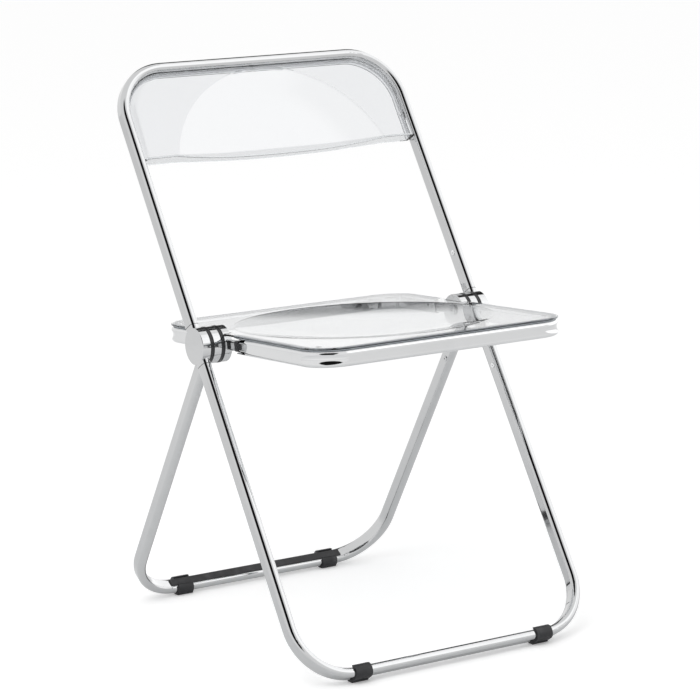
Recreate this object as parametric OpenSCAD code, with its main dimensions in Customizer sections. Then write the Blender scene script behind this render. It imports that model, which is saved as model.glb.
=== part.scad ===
// Folding chair of chromed flat oval tube with a clear moulded seat and backrest.
// The origin is on the floor below the hinge axis, midway between the two hinges.
// +X is to the right of someone who looks at the chair's front, the chair faces -Y, and +Z is up.

/* [Frame] */
// Height of the hinge axis above the floor
hinge_h = 405; // [380:1:430]
// Lean of the front frame and of the rear legs from the vertical, in degrees
lean = 32.5; // [31:0.5:34]
// Width of the front frame between the centre lines of its tubes
frame_w = 440; // [410:1:470]
// Length of the back from the hinge axis to the centre line of its top bar
back_len = 404.5; // [395:0.5:440]

/* [Tube] */
// Width of the flat oval tube, seen from the front
tube_w = 13; // [12.5:0.5:15]
// Depth of the flat oval tube, through the plane of its loop
tube_d = 22; // [20:0.5:25]
// Radius of the tube's rounded edges
tube_edge = 6; // [4:0.25:6]
// Thickness of the tube's wall
tube_wall = 1.5; // [1:0.1:2]
// Radius of the bends at the tube's centre line
bend_r = 72; // [60:1:80]

/* [Hinges] */
// Diameter of the three discs of a hinge
disc_d = 49; // [46:1:54]
// Rounding of a disc's rim
disc_edge = 1; // [0.5:0.1:1.5]
// Thickness of the seat's disc
seat_disc_t = 12; // [11:0.5:14]
// Gap between two neighbouring discs, filled by a black washer
disc_gap = 3; // [2.5:0.1:4]
// Distance from the hinge axis to the seam where a tube meets its hub
seam_r = 28; // [27.5:0.5:34]
// Length of a hub's stub inside its tube
stub_len = 70; // [65:1:90]
// Diameter of the pivot pin
pivot_d = 10; // [8:0.5:12]
// Diameter of the pivot pin's head
pivot_head_d = 16; // [14:0.5:18]
// Thickness of the pivot pin's head
pivot_head_t = 2.5; // [2:0.1:3]
// Diameter of the stop pin
stop_d = 5; // [4:0.25:5.5]
// Distance of the stop pin from the hinge axis
stop_r = 17; // [16.5:0.25:18]
// Depth of the pins in the outer hub
pin_hold = 9; // [7:0.5:10]
// Depth of the stop pin's slot in the seat's disc
stop_slot_t = 8; // [6:0.5:9]

/* [Seat] */
// Tilt of the seat, front edge up, in degrees
seat_tilt = 3; // [1:0.5:5]
// Length of the seat ahead of the hinge axis
seat_front = 257; // [240:1:260]
// Length of the seat behind the hinge axis
seat_rear = 153; // [140:1:170]
// Radius of the seat's corners at its outer edge
seat_corner = 44; // [38:1:56]
// Width of the chromed band's section
band_w = 12; // [11:0.5:13]
// Height of the chromed band's section
band_h = 21; // [19:0.5:23]
// Radius of the band's rounded edges
band_edge = 5; // [3:0.25:5]
// Height of the band's top above the hinge axis
band_top = 11.3; // [10.5:0.1:13]
// Depth of the hollow that bending leaves in the outside of the band's corners
band_dent = 2.4; // [1.5:0.1:3]
// Thickness of the dark strip between the band and the pan
gasket_t = 1.4; // [1:0.1:2]
// Width of the dark strip
gasket_w = 7; // [5:0.5:8]
// Thickness of the clear pan
pan_t = 2.6; // [2.2:0.1:3.2]
// Distance of the middle of the seat's dish ahead of the hinge axis
pan_dish_y = 58; // [52:1:62]

/* [Seat arms] */
// Height of an arm's neck
arm_h = 14; // [12:0.5:15]
// Distance from the hinge axis to the arm's black collar
collar_from = 46; // [44:0.5:50]
// Length of the collar
collar_len = 8.6; // [7:0.1:10]
// Distance from the hinge axis to the place where the band closes round the arm
band_from = 73; // [70:1:78]
// Length of the arm's plug inside the band
arm_plug = 22; // [15:1:40]

/* [Dish] */
// Radius of the round dish in the seat and in the backrest, at its upper rim
dish_r = 172; // [160:1:173]
// Depth of the dish
dish_depth = 9.5; // [7:0.5:10]
// Width of the dish's curved wall
dish_wall = 13; // [11:0.5:16]

/* [Backrest] */
// Thickness of the clear backrest
panel_t = 3; // [2.5:0.1:3.5]
// Clearance between the folded seat's front edge and the backrest's lower edge
fold_gap = 11.5; // [9:0.5:14]
// Sag of the lower edge below the dish
panel_bow = 6; // [4:0.5:7]
// Radius of the backrest's rounded rim
panel_edge = 10; // [8:0.5:12]
// Distance of the backrest's front face behind the front of the tube
panel_set = 1.5; // [0.5:0.1:3]
// Distance of the middle of the backrest's dish from the hinge axis
panel_dish_z = 219.5; // [214:0.5:222]

/* [Feet] */
// Thickness of the rubber feet under the bar
foot_t = 3; // [2.5:0.1:4]
// Length of a foot along its bar
foot_len = 24; // [20:0.5:26]
// Distance of the front feet from the centre lines of the front legs
front_foot_x = 79; // [74:1:86]
// Distance of the rear feet from the centre lines of the rear legs
rear_foot_x = 84; // [83:1:94]
// Width of the flat tread that a foot stands on
tread_w = 12; // [8:0.5:13]
// Width of a foot's mouth over the inner face of the bar
mouth_w = 14; // [13:0.5:16]
// Width of the black strip on the rear bar
strip_w = 11.5; // [9:0.5:12]
// Thickness of the black strip
strip_t = 2; // [1.5:0.1:2.5]
// Clearance between the folded front and rear feet
leg_fold_gap = 1; // [0.5:0.1:2]

/* [Fixings] */
// Distance of the rivets from the hinge axis
rivet_r = 86; // [80:1:90]
// Diameter of the rivet heads
rivet_head_d = 7.5; // [6:0.25:8.5]
// Diameter of the rivet shanks
rivet_d = 4; // [3.2:0.1:4.5]
// Distance of the backrest's side screws from the hinge axis
side_screw_z = 307; // [295:1:320]
// Diameter of the screw shanks
screw_d = 3.5; // [3:0.1:4]
// Diameter of the screw heads
screw_head_d = 7; // [6:0.25:8]
// Thickness of rivet and screw heads
head_t = 1.4; // [1.2:0.1:1.8]
// Distance of the pan's corner fixings from the seat's side edges
fix_side = 20; // [19:0.5:22]
// Distance of the pan's corner fixings from the seat's front and rear edges
fix_end = 33; // [30:0.5:36]

/* [Hidden] */
$fn = 96;

// Overrun of every cut past the faces that it opens
over = 1;
// Play of a pin in its bore or slot, on the radius
run_play = 0.05;
// Play on each side of a washer that turns against a disc
face_play = 0.15;
// Play of a stub or plug in its tube, on each side
stub_play = 0.1;

// The front frame's tubes
frame_x = frame_w / 2;
frame_in = frame_x - tube_w / 2;
// The rear legs pass inside the front frame, a washer's gap away
rear_x = frame_x - tube_w - disc_gap;
rear_in = rear_x - tube_w / 2;
rear_out = rear_x + tube_w / 2;
// The seat's discs are inside the rear legs, a washer's gap away
seat_disc_out = rear_in - disc_gap;
seat_disc_in = seat_disc_out - seat_disc_t;
disc_r = disc_d / 2;

// Reach of a bar's section below its centre, when its loop leans
flat_w = tube_w / 2 - tube_edge;
flat_d = tube_d / 2 - tube_edge;
bar_drop = flat_w * cos(lean) + flat_d * sin(lean) + tube_edge;
// Place of the lowest point of the section, across the chair
bar_low_y = flat_d * cos(lean) - flat_w * sin(lean);
// Length of the legs from the hinge axis to the centre line of a bar
leg_len = (hinge_h - foot_t - bar_drop) / cos(lean);

// Turn of the rear legs until their feet meet the front bar's
// and of the seat until it lies in the back's plane
leg_stack = tube_d + 2 * foot_t + leg_fold_gap;
leg_turn = 2 * lean - asin(leg_stack / leg_len);
seat_turn = 90 + lean - seat_tilt;
// Angle of the stop pin round the hinge axis, from the rear horizontal
stop_at = 210;

// The seat
seat_side_gap = 1;
seat_half = seat_disc_out - seat_side_gap;
band_x = seat_half - band_w / 2;
band_mid_h = band_top - band_h / 2;
band_bend_r = seat_corner - band_w / 2;
band_wall = tube_wall;
pan_under = band_top + gasket_t;
pan_top = pan_under + pan_t;
pan_disc_gap = 1.5;
// The hub's arms lie in the middle of the band
arm_w = band_w - 2 * band_wall;
arm_edge = arm_w / 3;
collar_wall = 2;
collar_proud = 0.3;
block_inset = 0.8;
band_end_gap = 2;
band_open = collar_from - band_end_gap;
arm_screw_y = (collar_from + collar_len + band_from) / 2;
arm_screw_depth = 6;
// Ring that leaves the hollow in a corner of the band: it runs out before the bend ends
dent_clear = 0.5;
dent_shift = (band_dent + dent_clear) / (1 - cos(45));
dent_r = seat_corner - band_dent + dent_shift;
dent_round = 10;
// Angle that the ring stays off each end of the bend, in degrees
dent_from = 1;

// The pan's corner fixings
boss_d = 8;
boss_h = 5;
lug_t = 2.5;
lug_r = 5.5;
fix_x = seat_half - fix_side;
fix_front = seat_front - fix_end;
fix_rear = seat_rear - fix_end;
pan_screw_skin = 0.8;

// The backrest
panel_play = 0.2;
panel_half = frame_in - panel_play;
panel_top = back_len - tube_w / 2 - panel_play;
panel_bend = bend_r - tube_w / 2 - panel_play;
panel_low = seat_front + fold_gap;
panel_front = tube_d / 2 - panel_set;
panel_back = tube_d / 2 - panel_set / 2;
bow_half = sqrt(dish_r * dish_r - (panel_low - panel_dish_z) * (panel_low - panel_dish_z));
bow_r = (bow_half * bow_half + panel_bow * panel_bow) / (2 * panel_bow);
panel_screw_y = 4;
panel_screw_len = 7;

// Radius of the two arcs of a dish's wall
dish_arc = (dish_wall * dish_wall + dish_depth * dish_depth) / (4 * dish_depth);
// A dish wider than its seat or backrest runs along the edge, clear of the band's screws and of the rim
dish_gap = 1;
pan_dish_inset = band_w + head_t + dish_gap;
panel_dish_inset = panel_t + dish_gap;
// The backrest's top screw sits further back where the dish reaches up to its head
dish_back = dish_depth + panel_t - panel_front;
dish_top = panel_dish_z + dish_r;
screw_behind = dish_back + screw_head_d / 2 + dish_gap;
top_screw_y = dish_top < panel_top - panel_t - head_t ? panel_screw_y : screw_behind;

// Rubber
foot_edge = 1.5;
strip_arc = 7.5;

// Fixings
head_edge = head_t / 2;
rivet_eye_d = 2.4;
rivet_eye_t = 0.8;
rivet_depth = 4;
rivet_n = 2.5;
socket_d = 5;
socket_t = 1.4;
slot_w = 1;
slot_t = 0.7;

// Rectangle with rounded corners, drawn about its centre
module rounded(w, h, r) {
    square([w - 2 * r, h], center = true);
    square([w, h - 2 * r], center = true);
    for (x = [-1, 1], y = [-1, 1]) {
        translate([x * (w / 2 - r), y * (h / 2 - r)]) circle(r);
    }
}

// Section of the frame's tube, its width along X and its depth along Y
module tube_section(inset = 0) {
    rounded(tube_w - 2 * inset, tube_d - 2 * inset, tube_edge - inset);
}

// Section of the seat's band, its width along X and its height along Y
module band_section(inset = 0) {
    rounded(band_w - 2 * inset, band_h - 2 * inset, band_edge - inset);
}

// Moves what is drawn about the hinge axis to its height
module at_hinge() {
    translate([0, 0, hinge_h]) children();
}

// Plane of the front frame: Z runs up the back, -Y is the side that faces forward
module front_plane() {
    at_hinge() rotate([-lean, 0, 0]) children();
}

// Plane of the rear legs: Z runs up towards the hinge axis, Y is the side that faces rearward
module rear_plane() {
    at_hinge() rotate([lean, 0, 0]) children();
}

// Plane of the seat: -Y runs forward, Z is up
module seat_plane() {
    at_hinge() rotate([-seat_tilt, 0, 0]) children();
}

// Draws the right side and, mirrored, the left
module both_sides() {
    children();
    mirror([1, 0, 0]) children();
}

// Round bar along X from x0 to x1
module x_rod(r, x0, x1) {
    translate([x0, 0, 0]) rotate([0, 90, 0]) cylinder(r = r, h = x1 - x0);
}

// Disc along X from x0 to x1 with a rounded rim
module x_disc(r, x0, x1, edge) {
    t = x1 - x0;
    translate([x0, 0, 0]) rotate([0, 90, 0]) rotate_extrude() {
        square([r - edge, t]);
        translate([0, edge]) square([r, t - 2 * edge]);
        for (y = [edge, t - edge]) {
            translate([r - edge, y]) circle(edge);
        }
    }
}

// Places what is drawn along X at the stop pin
module at_stop() {
    rotate([stop_at, 0, 0]) translate([0, stop_r, 0]) children();
}

// Arc slot for the stop pin, from the pin's place on through a turn, its ends a little wider than the rest
module stop_slot(x0, x1, turn) {
    r = stop_d / 2 + run_play;
    translate([x0, 0, 0]) rotate([90, 0, 90]) rotate([0, 0, stop_at]) rotate_extrude(angle = turn)
        translate([stop_r - r, 0]) square([2 * r, x1 - x0]);
    for (a = [0, turn]) {
        rotate([stop_at + a, 0, 0]) translate([0, stop_r, 0]) x_rod(r + run_play, x0, x1);
    }
}

// One straight leg of a loop, on the right
module loop_leg(width, reach, bend, from) {
    translate([width / 2, 0, from]) linear_extrude(reach - bend - from) children();
}

// One bend of a loop, on the right
module loop_bend(width, reach, bend, turn = 90) {
    translate([width / 2 - bend, 0, reach - bend]) rotate([90, 0, 0]) rotate_extrude(angle = turn)
        translate([bend, 0]) children();
}

// The bar that closes a loop
module loop_bar(width, reach, bend) {
    translate([width / 2 - bend, 0, reach]) rotate([0, -90, 0]) linear_extrude(width - 2 * bend) children();
}

// Loop in the XZ plane that opens downward: two legs, two bends and a bar at the height "reach"
module loop(width, reach, bend, from) {
    both_sides() {
        loop_leg(width, reach, bend, from) children();
        loop_bend(width, reach, bend) children();
    }
    loop_bar(width, reach, bend) children();
}

// Hollow loop of the frame's tube
module tube_loop(width, reach) {
    difference() {
        loop(width, reach, bend_r, seam_r) tube_section();
        loop(width, reach, bend_r, seam_r - over) tube_section(tube_wall);
    }
}

// Head of a rivet or screw: its flat side at z = 0, its rounded top towards +Z
module head(d) {
    rotate_extrude() {
        square([d / 2 - head_edge, head_t]);
        square([d / 2, head_t - head_edge]);
        translate([d / 2 - head_edge, head_t - head_edge]) circle(head_edge);
    }
}

// Blind rivet with the eye that its mandrel leaves, head towards +Z
module rivet() {
    difference() {
        union() {
            head(rivet_head_d);
            translate([0, 0, -rivet_depth]) cylinder(d = rivet_d, h = rivet_depth);
        }
        translate([0, 0, head_t - rivet_eye_t]) cylinder(d = rivet_eye_d, h = rivet_eye_t + over);
    }
}

// Slotted screw, head towards +Z
module screw(len) {
    difference() {
        union() {
            head(screw_head_d);
            translate([0, 0, -len]) cylinder(d = screw_d, h = len);
        }
        translate([-screw_head_d, -slot_w / 2, head_t - slot_t])
            cube([2 * screw_head_d, slot_w, slot_t + over]);
    }
}

// Hole for a rivet or screw, from the head's seat inward
module fixing_hole(d, len) {
    translate([0, 0, -len]) cylinder(r = d / 2 + run_play, h = len + over);
}

// Place of a rivet on the inner face of the right tube, z along the tube, head towards the chair's middle
module at_rivet(x, z) {
    translate([x, -rivet_n, z]) rotate([0, -90, 0]) children();
}

// Places of the backrest's screws in the front frame's plane, heads inside the tray
// A side screw that stands higher than the straight side follows the rim's bend
module at_backrest_screws() {
    bend_z = panel_top - panel_bend;
    turn = asin(max(side_screw_z - bend_z, 0) / panel_bend);
    for (side = [-1, 1]) {
        translate([side * (panel_half - panel_bend), panel_screw_y, min(side_screw_z, bend_z)])
            rotate([0, -turn * side, 0]) translate([side * (panel_bend - panel_t), 0, 0])
            rotate([0, -90 * side, 0]) children();
    }
    translate([0, top_screw_y, panel_top - panel_t]) rotate([180, 0, 0]) children();
}

// Moulded dish with a wall of two equal arcs: the hollow itself, or with a skin the outside of its underside
module dish(skin = 0) {
    rim = [dish_r, -dish_arc];
    floor = [dish_r - dish_wall, dish_arc - dish_depth];
    turn_share = (dish_arc - skin) / (2 * dish_arc);
    turn = rim + (floor - rim) * turn_share;
    rotate_extrude() difference() {
        union() {
            polygon([
                [0, -dish_depth - skin], [floor.x, -dish_depth - skin], turn, [rim.x, -skin], [rim.x, over],
                [0, over]
            ]);
            translate(floor) circle(dish_arc + skin);
        }
        translate(rim) circle(dish_arc - skin);
        translate([-dish_r, -dish_r]) square([dish_r, 2 * dish_r]);
        translate([-over, over]) square([dish_r + 2 * over, dish_r]);
    }
}

module back_tube() {
    color("gainsboro") front_plane() difference() {
        tube_loop(frame_w, back_len);
        both_sides() at_rivet(frame_in, rivet_r) fixing_hole(rivet_d, rivet_depth);
        at_backrest_screws() fixing_hole(screw_d, panel_screw_len);
    }
}

module front_leg_tube() {
    color("gainsboro") front_plane() difference() {
        mirror([0, 0, 1]) tube_loop(frame_w, leg_len);
        both_sides() at_rivet(frame_in, -rivet_r) fixing_hole(rivet_d, rivet_depth);
    }
}

module rear_leg_tube() {
    color("gainsboro") rear_plane() difference() {
        mirror([0, 0, 1]) tube_loop(2 * rear_x, leg_len);
        both_sides() at_rivet(rear_in, -rivet_r) fixing_hole(rivet_d, rivet_depth);
    }
}

// Neck of a hub down to the seam, and its stub inside the tube
module hub_stub(x) {
    translate([x, 0, -seam_r]) linear_extrude(seam_r) tube_section();
    translate([x, 0, -seam_r - stub_len]) linear_extrude(stub_len + over) tube_section(tube_wall + stub_play);
}

// Outer disc of the right hinge with its two stubs and the blind bores of its pins
module outer_hub() {
    color("silver") difference() {
        union() {
            at_hinge() x_disc(disc_r, frame_in, frame_in + tube_w, disc_edge);
            front_plane() {
                hub_stub(frame_x);
                mirror([0, 0, 1]) hub_stub(frame_x);
            }
        }
        at_hinge() {
            x_rod(pivot_d / 2 + run_play, frame_in - over, frame_in + pin_hold);
            at_stop() x_rod(stop_d / 2 + run_play, frame_in - over, frame_in + pin_hold);
        }
        front_plane() for (z = [-rivet_r, rivet_r]) {
            at_rivet(frame_in, z) fixing_hole(rivet_d, rivet_depth);
        }
    }
}

// Middle disc of the right hinge with its stub, its bore and the slot that the stop pin passes through
module middle_hub() {
    color("silver") difference() {
        union() {
            at_hinge() x_disc(disc_r, rear_in, rear_out, disc_edge);
            rear_plane() hub_stub(rear_x);
        }
        at_hinge() {
            x_rod(pivot_d / 2 + run_play, rear_in - over, rear_out + over);
            stop_slot(rear_in - over, rear_out + over, leg_turn);
        }
        rear_plane() at_rivet(rear_in, -rivet_r) fixing_hole(rivet_d, rivet_depth);
    }
}

// Forward arm of the seat's right disc: neck, waist for the collar, end block and plug in the band
module seat_arm() {
    block_from = collar_from + collar_len;
    translate([band_x, 0, band_mid_h]) rotate([90, 0, 0]) {
        linear_extrude(collar_from) rounded(arm_w, arm_h, arm_edge);
        linear_extrude(block_from)
            rounded(arm_w - 2 * collar_wall, arm_h - 2 * collar_wall, arm_edge - collar_wall / 2);
        translate([0, 0, block_from]) linear_extrude(band_from - block_from)
            rounded(arm_w - block_inset, arm_h - 2 * block_inset, arm_edge - block_inset / 2);
        translate([0, 0, band_from]) linear_extrude(arm_plug) band_section(band_wall + stub_play);
    }
}

// Hole along X for the screw that holds an arm in the band
module arm_screw_hole() {
    translate([seat_half - band_w, -arm_screw_y, band_mid_h]) rotate([0, -90, 0])
        fixing_hole(screw_d, arm_screw_depth);
}

// Inner disc of the right hinge with its two arms, its bore and the blind slot of the stop pin
module seat_hub() {
    color("silver") difference() {
        union() {
            at_hinge() x_disc(disc_r, seat_disc_in, seat_disc_out, disc_edge);
            seat_plane() for (end = [0, 1]) {
                mirror([0, end, 0]) seat_arm();
            }
        }
        at_hinge() {
            x_rod(pivot_d / 2 + run_play, seat_disc_in - over, seat_disc_out + over);
            stop_slot(seat_disc_out - stop_slot_t, seat_disc_out + over, seat_turn);
        }
        seat_plane() for (end = [0, 1]) {
            mirror([0, end, 0]) arm_screw_hole();
        }
    }
}

// Axle of the right hinge: its outer end is held in the outer hub, its head bears on the seat's disc
module pivot_pin() {
    head_x = seat_disc_in - face_play;
    color("dimgray") at_hinge() difference() {
        union() {
            x_rod(pivot_d / 2, head_x, frame_in + pin_hold - over / 2);
            x_disc(pivot_head_d / 2, head_x - pivot_head_t, head_x, pivot_head_t / 4);
        }
        x_rod(socket_d / 2, head_x - pivot_head_t - over, head_x - pivot_head_t + socket_t);
    }
}

// Stop pin of the right hinge: fixed in the outer hub, it reaches into the slot of the seat's disc
module stop_pin() {
    color("dimgray") at_hinge() at_stop()
        x_rod(stop_d / 2, seat_disc_out - stop_slot_t + over / 2, frame_in + pin_hold - over / 2);
}

// Black washer of the right hinge, from x0 to x1
module washer(x0, x1) {
    color([0.08, 0.08, 0.09]) at_hinge() difference() {
        x_rod(disc_r, x0, x1);
        x_rod(pivot_d / 2 + run_play, x0 - over, x1 + over);
        at_stop() x_rod(stop_d / 2 + run_play, x0 - over, x1 + over);
    }
}

module outer_washer() {
    washer(rear_out + face_play, frame_in);
}

module inner_washer() {
    washer(seat_disc_out + face_play, rear_in - face_play);
}

module frame_rivets() {
    color("whitesmoke") front_plane() both_sides() for (z = [-rivet_r, rivet_r]) {
        at_rivet(frame_in, z) rivet();
    }
}

module rear_rivets() {
    color("whitesmoke") rear_plane() both_sides() at_rivet(rear_in, -rivet_r) rivet();
}

// Upright D outline of the backrest in the XZ plane, set in from its edge, from a height upward
module panel_outline(inset, low) {
    half = panel_half - inset;
    bend = panel_bend - inset;
    top = panel_top - inset;
    translate([-half, low]) square([2 * half, top - bend - low]);
    translate([bend - half, low]) square([2 * (half - bend), top - low]);
    for (side = [-1, 1]) {
        translate([side * (half - bend), top - bend]) circle(bend);
    }
}

// Slab of the outline between two depths, counted forward from the tube's middle
module panel_slab(inset, low, back, front) {
    translate([0, -back, 0]) rotate([90, 0, 0]) linear_extrude(front - back) panel_outline(inset, low);
}

// Quarter round that softens the rim, its flat sides towards the slab
module rim_section(r) {
    intersection() {
        circle(r);
        translate([0, -r]) square([r, 2 * r]);
    }
}

// Solid of the backrest's outside, or of its inside when set in by the wall
module panel_solid(inset) {
    r = panel_edge - inset;
    front = panel_front - inset;
    back = inset == 0 ? -panel_back : -panel_back - over;
    low = panel_low + inset;
    deep = low - panel_bow - over;
    half = panel_half - panel_edge;
    top = panel_top - panel_edge;
    intersection() {
        union() {
            panel_slab(inset, deep, back, front - r);
            panel_slab(panel_edge, deep, front - r - over, front);
            translate([0, r - front, 0]) loop(2 * half, top, panel_bend - panel_edge, deep) rim_section(r);
        }
        translate([0, -back, 0]) rotate([90, 0, 0]) linear_extrude(front - back) {
            translate([-panel_half - over, low]) square([2 * (panel_half + over), panel_top]);
            intersection() {
                translate([0, low - panel_bow + bow_r]) circle(bow_r, $fn = 720);
                translate([-bow_half, low - 2 * panel_bow]) square([2 * bow_half, 4 * panel_bow]);
            }
        }
    }
}

// Places the dish in the backrest, its open side forward
module at_panel_dish() {
    translate([0, -panel_front, panel_dish_z]) rotate([90, 0, 0]) children();
}

module backrest_panel() {
    color([0.9, 0.93, 0.95, 0.35]) front_plane() difference() {
        union() {
            difference() {
                panel_solid(0);
                panel_solid(panel_t);
            }
            intersection() {
                panel_solid(0);
                at_panel_dish() dish(panel_t);
            }
        }
        intersection() {
            at_panel_dish() dish();
            panel_slab(panel_dish_inset, panel_low - 2 * panel_bow, -panel_back, panel_front + 2 * over);
        }
        at_backrest_screws() fixing_hole(screw_d, panel_screw_len);
    }
}

module backrest_screws() {
    color("whitesmoke") front_plane() at_backrest_screws() screw(panel_screw_len);
}

// Section of a front foot about the bar's centre, in the plane YZ of the front frame
module foot_section() {
    grip_w = tube_d + 2 * foot_t;
    grip_h = tube_w + 2 * foot_t;
    difference() {
        union() {
            rounded(grip_w, grip_h, tube_edge + foot_t);
            rotate(lean) translate([bar_low_y, -(bar_drop + foot_t) / 2])
                rounded(tread_w, bar_drop + foot_t, foot_edge);
        }
        rounded(tube_d, tube_w, tube_edge);
        translate([-mouth_w / 2, 0]) square([mouth_w, grip_h]);
    }
}

// Front foot on the right
module front_foot() {
    x = frame_x - front_foot_x;
    color([0.1, 0.1, 0.11]) front_plane() translate([x - foot_len / 2, 0, -leg_len])
        rotate([90, 0, 90]) linear_extrude(foot_len) foot_section();
}

// Rear foot on the right, the mirror image of a front one
module rear_foot() {
    x = rear_x - rear_foot_x;
    color([0.1, 0.1, 0.11]) mirror([0, 1, 0]) front_plane() translate([x - foot_len / 2, 0, -leg_len])
        rotate([90, 0, 90]) linear_extrude(foot_len) foot_section();
}

// Black strip on the inner face of the rear bar, its ends a little way up the bends
module rear_bar_strip() {
    reach = leg_len - tube_w / 2 - strip_t / 2;
    bend = bend_r - tube_w / 2 - strip_t / 2;
    width = 2 * (rear_x - bend_r + bend);
    color([0.1, 0.1, 0.11]) rear_plane() mirror([0, 0, 1]) {
        loop_bar(width, reach, bend) square([strip_t, strip_w], center = true);
        both_sides() translate([width / 2 - bend, 0, reach - bend]) rotate([90, 0, 0])
            rotate([0, 0, 90]) mirror([0, 1, 0]) rotate_extrude(angle = strip_arc)
            translate([bend, 0]) square([strip_t, strip_w], center = true);
    }
}

module arm_collars() {
    color([0.08, 0.08, 0.09]) seat_plane() for (end = [0, 1]) {
        mirror([0, end, 0]) translate([band_x, -collar_from, band_mid_h]) rotate([90, 0, 0])
            linear_extrude(collar_len) difference() {
                translate([(collar_proud + stub_play) / 2, 0])
                    rounded(arm_w + collar_proud - stub_play, arm_h + 2 * collar_proud, arm_edge);
                rounded(arm_w - 2 * collar_wall, arm_h - 2 * collar_wall, arm_edge - collar_wall / 2);
            }
    }
}

// Turns a loop of the XZ plane into the seat's plane, opening rearward
module lay_forward() {
    translate([0, 0, band_mid_h]) rotate([90, 0, 0]) children();
}

// Cavity of the band, its bends narrowed where the corners are hollowed
module band_cavity(length) {
    narrow = band_w - 2 * band_wall - band_dent;
    high = band_h - 2 * band_wall;
    both_sides() {
        loop_leg(2 * band_x, length - band_w / 2, band_bend_r, 0) band_section(band_wall);
        loop_bend(2 * band_x, length - band_w / 2, band_bend_r) translate([-band_dent / 2, 0])
            rounded(narrow, high, narrow / 2 - band_wall / 2);
    }
    loop_bar(2 * band_x, length - band_w / 2, band_bend_r) band_section(band_wall);
}

// Lug inside a corner of the band, on the right, for the screw into the pan's boss
module band_lug(length, fix_y) {
    lug_high = pan_under - boss_h - band_mid_h;
    corner = seat_half - seat_corner;
    reach = seat_corner - band_w + band_wall / 2;
    translate([0, lug_high - lug_t, 0]) rotate([-90, 0, 0]) mirror([0, 1, 0]) linear_extrude(lug_t)
        intersection() {
            union() {
                translate([fix_x, fix_y]) circle(lug_r);
                translate([fix_x, fix_y - lug_r]) square([seat_corner, 2 * lug_r]);
            }
            translate([corner, length - seat_corner]) circle(reach);
        }
}

// One half of the seat's band, drawn in the XZ plane: it opens downward and its outer edge is at "length"
module band_half(length, fix_y) {
    corner = seat_half - seat_corner;
    difference() {
        union() {
            difference() {
                loop(2 * band_x, length - band_w / 2, band_bend_r, band_open) band_section();
                band_cavity(length);
            }
            both_sides() band_lug(length, fix_y);
        }
        both_sides() {
            translate([band_x, -band_h, 0]) cube([band_w, 2 * band_h, band_from]);
            translate([seat_half - band_w, 0, arm_screw_y]) rotate([0, -90, 0])
                fixing_hole(screw_d, arm_screw_depth);
            translate([corner - dent_shift * sin(45), 0, length - seat_corner - dent_shift * cos(45)])
                rotate([90, -dent_from, 0]) rotate_extrude(angle = 90 - 2 * dent_from)
                translate([dent_r + dent_round, 0]) circle(dent_round);
            translate([fix_x, 0, fix_y]) rotate([90, 0, 0])
                cylinder(r = screw_d / 2 + run_play, h = 2 * band_h, center = true);
        }
    }
}

module seat_band_front() {
    color("gainsboro") seat_plane() lay_forward() band_half(seat_front, fix_front);
}

module seat_band_rear() {
    color("gainsboro") seat_plane() mirror([0, 1, 0]) lay_forward() band_half(seat_rear, fix_rear);
}

module seat_gasket() {
    shift = (gasket_t + band_h) / 2;
    color([0.35, 0.38, 0.41]) seat_plane() for (end = [0, 1]) {
        mirror([0, end, 0]) lay_forward() translate([0, shift, 0])
            loop(2 * band_x, (end == 0 ? seat_front : seat_rear) - band_w / 2, band_bend_r, band_open)
            square([gasket_w, gasket_t], center = true);
    }
}

// Outline of the pan, set in from its edge
module pan_outline(inset) {
    r = seat_corner - inset;
    x = seat_half - inset - r;
    for (side = [-1, 1]) {
        translate([side * x, -seat_front + seat_corner]) circle(r);
        translate([side * x, seat_rear - seat_corner]) circle(r);
    }
    translate([-x, inset - seat_front]) square([2 * x, seat_front + seat_rear - 2 * inset]);
    translate([-x - r, seat_corner - seat_front])
        square([2 * (x + r), seat_front + seat_rear - 2 * seat_corner]);
}

// Room for the dish over the pan's outline, set in from the seat's edge
module pan_dish_room(inset) {
    translate([0, 0, pan_under - dish_depth - over]) linear_extrude(dish_depth + pan_t + 3 * over)
        pan_outline(inset);
}

module seat_pan() {
    r = pan_t / 2;
    color([0.9, 0.93, 0.95, 0.35]) seat_plane() difference() {
        union() {
            translate([0, 0, pan_under]) linear_extrude(pan_t) pan_outline(r);
            for (end = [0, 1]) {
                mirror([0, end, 0]) translate([0, 0, pan_under + r]) rotate([90, 0, 0])
                    loop(2 * (seat_half - r), (end == 0 ? seat_front : seat_rear) - r, seat_corner - r, 0)
                    circle(r);
            }
            intersection() {
                translate([0, -pan_dish_y, pan_top]) difference() {
                    dish(pan_t);
                    translate([0, 0, -pan_t]) cylinder(r = 2 * dish_r, h = 2 * pan_t);
                }
                pan_dish_room(pan_dish_inset);
            }
            for (x = [-fix_x, fix_x], y = [-fix_front, fix_rear]) {
                translate([x, y, pan_under - boss_h]) cylinder(d = boss_d, h = boss_h + r);
            }
        }
        intersection() {
            translate([0, -pan_dish_y, pan_top]) dish();
            pan_dish_room(pan_dish_inset + pan_t);
        }
        both_sides() x_rod(disc_r + pan_disc_gap, seat_disc_in - pan_disc_gap, seat_half + over);
        for (x = [-fix_x, fix_x], y = [-fix_front, fix_rear]) {
            translate([x, y, pan_under - boss_h - over])
                cylinder(r = screw_d / 2 + run_play, h = boss_h + over + pan_t - pan_screw_skin);
        }
    }
}

module pan_screws() {
    len = lug_t + boss_h + pan_t - 2 * pan_screw_skin;
    color("whitesmoke") seat_plane() for (x = [-fix_x, fix_x], y = [-fix_front, fix_rear]) {
        translate([x, y, pan_under - boss_h - lug_t]) rotate([180, 0, 0]) screw(len);
    }
}

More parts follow.
